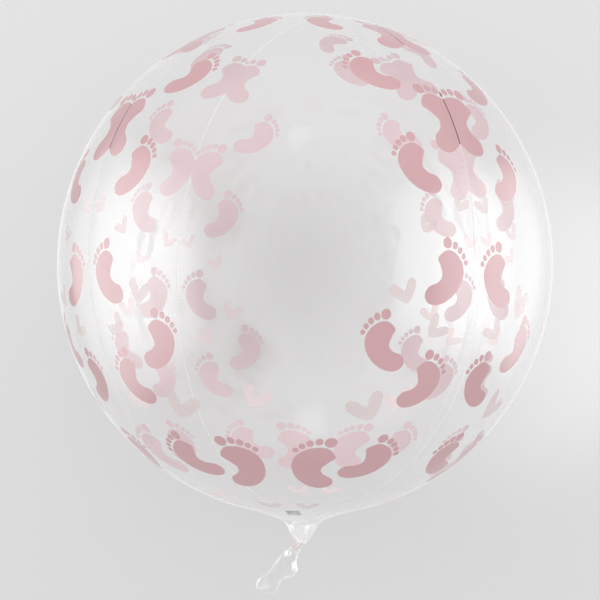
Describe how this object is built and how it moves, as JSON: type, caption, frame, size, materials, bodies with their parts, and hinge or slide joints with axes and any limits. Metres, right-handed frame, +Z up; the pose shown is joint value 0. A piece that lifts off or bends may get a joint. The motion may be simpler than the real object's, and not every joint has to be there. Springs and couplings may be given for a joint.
{
  "type": "clear bubble balloon",
  "caption": "Clear printed film balloon, a ball of welded gores with a gathered neck and a flat filling tail, lying on its side.",
  "frame": {"origin": "middle of the underside of the bounding box, level with the flat spot that the balloon rests on", "axes": "+Z up; +Y along the balloon's own axis, from the neck to the top; the front of the print looks up along +Z"},
  "size_m": [0.4954, 0.5856, 0.4927],
  "materials": {
    "film": "clear glossy film, thin, with pale pink prints on it"
  },
  "bodies": {
    "root": {"balloon": "film"}
  },
  "joints": []
}
